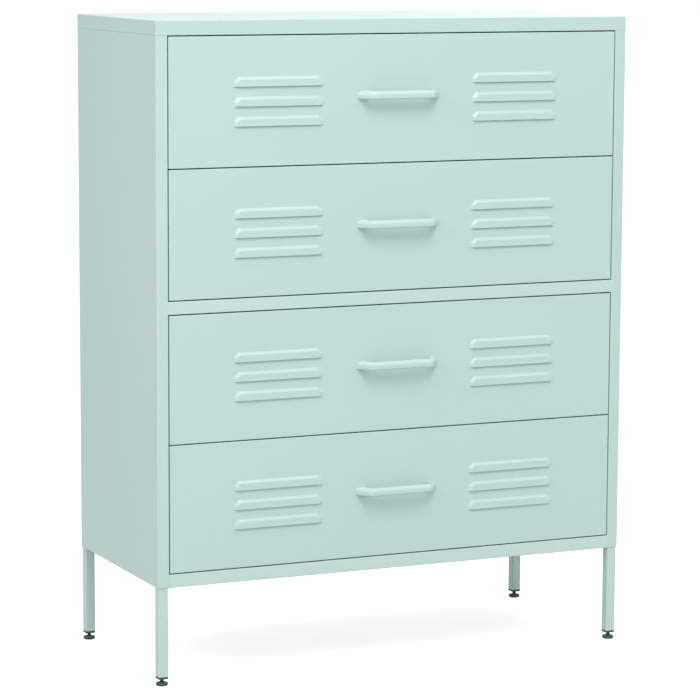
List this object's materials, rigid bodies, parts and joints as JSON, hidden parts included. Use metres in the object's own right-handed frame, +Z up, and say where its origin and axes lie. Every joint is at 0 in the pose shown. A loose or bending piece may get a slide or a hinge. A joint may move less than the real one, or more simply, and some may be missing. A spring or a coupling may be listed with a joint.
{
  "type": "chest of drawers",
  "caption": "Free-standing sheet-steel chest of drawers on slim square legs, with pressed louvres and a bow pull on each drawer, roller runners and levelling feet.",
  "frame": {"origin": "on the floor, under the middle of the whole object, pulls included", "axes": "+Z up, +X to the right seen from the front, +Y to the back; the drawers open along -Y"},
  "size_m": [0.801, 0.3735, 1.015],
  "materials": {
    "mint_paint": "satin pale mint powder coat with a fine orange peel",
    "zinc_steel": "zinc-plated steel, slightly dulled",
    "nylon": "natural white nylon",
    "black_plastic": "matt black moulded plastic"
  },
  "bodies": {
    "cabinet": {"top_panel": "mint_paint", "side_panel_left": "mint_paint", "side_panel_right": "mint_paint", "back_panel": "mint_paint", "bottom_panel": "mint_paint", "middle_rail": "mint_paint", "leg_front_left": "mint_paint", "leg_front_right": "mint_paint", "leg_rear_left": "mint_paint", "leg_rear_right": "mint_paint", "leg_inserts": "zinc_steel", "leg_plugs": "black_plastic", "leg_bolts": "zinc_steel", "body_screws": "zinc_steel", "back_screws": "zinc_steel", "cabinet_roller_pins": "zinc_steel", "cabinet_rails_1": "zinc_steel", "cabinet_rails_2": "zinc_steel", "cabinet_rails_3": "zinc_steel", "cabinet_rails_4": "zinc_steel"},
    "drawer_1": {"drawer_front_1": "mint_paint", "drawer_tray_1": "mint_paint", "drawer_rails_1": "zinc_steel", "roller_pins_1": "zinc_steel", "pull_1": "mint_paint", "pull_screws_1": "zinc_steel", "front_screws_1": "zinc_steel"},
    "cabinet_rollers_1": {"cabinet_rollers_1": "nylon"},
    "drawer_rollers_1": {"drawer_rollers_1": "nylon"},
    "drawer_2": {"drawer_front_2": "mint_paint", "drawer_tray_2": "mint_paint", "drawer_rails_2": "zinc_steel", "roller_pins_2": "zinc_steel", "pull_2": "mint_paint", "pull_screws_2": "zinc_steel", "front_screws_2": "zinc_steel"},
    "cabinet_rollers_2": {"cabinet_rollers_2": "nylon"},
    "drawer_rollers_2": {"drawer_rollers_2": "nylon"},
    "drawer_3": {"drawer_front_3": "mint_paint", "drawer_tray_3": "mint_paint", "drawer_rails_3": "zinc_steel", "roller_pins_3": "zinc_steel", "pull_3": "mint_paint", "pull_screws_3": "zinc_steel", "front_screws_3": "zinc_steel"},
    "cabinet_rollers_3": {"cabinet_rollers_3": "nylon"},
    "drawer_rollers_3": {"drawer_rollers_3": "nylon"},
    "drawer_4": {"drawer_front_4": "mint_paint", "drawer_tray_4": "mint_paint", "drawer_rails_4": "zinc_steel", "roller_pins_4": "zinc_steel", "pull_4": "mint_paint", "pull_screws_4": "zinc_steel", "front_screws_4": "zinc_steel"},
    "cabinet_rollers_4": {"cabinet_rollers_4": "nylon"},
    "drawer_rollers_4": {"drawer_rollers_4": "nylon"},
    "foot_front_left": {"foot_front_left": "black_plastic"},
    "foot_front_right": {"foot_front_right": "black_plastic"},
    "foot_rear_left": {"foot_rear_left": "black_plastic"},
    "foot_rear_right": {"foot_rear_right": "black_plastic"}
  },
  "joints": [
    {"name": "drawer_1_slide", "type": "slide", "parent": "cabinet", "child": "drawer_1", "axis": [0, -1, 0], "range_m": [0, 0.25]},
    {"name": "cabinet_rollers_1_spin", "type": "hinge", "parent": "cabinet", "child": "cabinet_rollers_1", "pos_m": [0, -0.124, 0.8146], "axis": [1, 0, 0], "range_deg": [0, 1690]},
    {"name": "drawer_rollers_1_spin", "type": "hinge", "parent": "drawer_1", "child": "drawer_rollers_1", "pos_m": [0, 0.1714, 0.8144], "axis": [1, 0, 0], "range_deg": [0, 1690]},
    {"name": "drawer_2_slide", "type": "slide", "parent": "cabinet", "child": "drawer_2", "axis": [0, -1, 0], "range_m": [0, 0.25]},
    {"name": "cabinet_rollers_2_spin", "type": "hinge", "parent": "cabinet", "child": "cabinet_rollers_2", "pos_m": [0, -0.124, 0.6156], "axis": [1, 0, 0], "range_deg": [0, 1690]},
    {"name": "drawer_rollers_2_spin", "type": "hinge", "parent": "drawer_2", "child": "drawer_rollers_2", "pos_m": [0, 0.1714, 0.6154], "axis": [1, 0, 0], "range_deg": [0, 1690]},
    {"name": "drawer_3_slide", "type": "slide", "parent": "cabinet", "child": "drawer_3", "axis": [0, -1, 0], "range_m": [0, 0.25]},
    {"name": "cabinet_rollers_3_spin", "type": "hinge", "parent": "cabinet", "child": "cabinet_rollers_3", "pos_m": [0, -0.124, 0.3952], "axis": [1, 0, 0], "range_deg": [0, 1690]},
    {"name": "drawer_rollers_3_spin", "type": "hinge", "parent": "drawer_3", "child": "drawer_rollers_3", "pos_m": [0, 0.1714, 0.395], "axis": [1, 0, 0], "range_deg": [0, 1690]},
    {"name": "drawer_4_slide", "type": "slide", "parent": "cabinet", "child": "drawer_4", "axis": [0, -1, 0], "range_m": [0, 0.25]},
    {"name": "cabinet_rollers_4_spin", "type": "hinge", "parent": "cabinet", "child": "cabinet_rollers_4", "pos_m": [0, -0.124, 0.1962], "axis": [1, 0, 0], "range_deg": [0, 1690]},
    {"name": "drawer_rollers_4_spin", "type": "hinge", "parent": "drawer_4", "child": "drawer_rollers_4", "pos_m": [0, 0.1714, 0.196], "axis": [1, 0, 0], "range_deg": [0, 1690]},
    {"name": "foot_front_left_screw", "type": "slide", "parent": "cabinet", "child": "foot_front_left", "axis": [0, 0, -1], "range_m": [-0.005, 0.01]},
    {"name": "foot_front_right_screw", "type": "slide", "parent": "cabinet", "child": "foot_front_right", "axis": [0, 0, -1], "range_m": [-0.005, 0.01]},
    {"name": "foot_rear_left_screw", "type": "slide", "parent": "cabinet", "child": "foot_rear_left", "axis": [0, 0, -1], "range_m": [-0.005, 0.01]},
    {"name": "foot_rear_right_screw", "type": "slide", "parent": "cabinet", "child": "foot_rear_right", "axis": [0, 0, -1], "range_m": [-0.005, 0.01]}
  ],
  "couplings": [
    {"joint": "cabinet_rollers_1_spin", "follows": "drawer_1_slide", "rad_per_m": 117.65},
    {"joint": "drawer_rollers_1_spin", "follows": "drawer_1_slide", "rad_per_m": 117.65},
    {"joint": "cabinet_rollers_2_spin", "follows": "drawer_2_slide", "rad_per_m": 117.65},
    {"joint": "drawer_rollers_2_spin", "follows": "drawer_2_slide", "rad_per_m": 117.65},
    {"joint": "cabinet_rollers_3_spin", "follows": "drawer_3_slide", "rad_per_m": 117.65},
    {"joint": "drawer_rollers_3_spin", "follows": "drawer_3_slide", "rad_per_m": 117.65},
    {"joint": "cabinet_rollers_4_spin", "follows": "drawer_4_slide", "rad_per_m": 117.65},
    {"joint": "drawer_rollers_4_spin", "follows": "drawer_4_slide", "rad_per_m": 117.65}
  ]
}
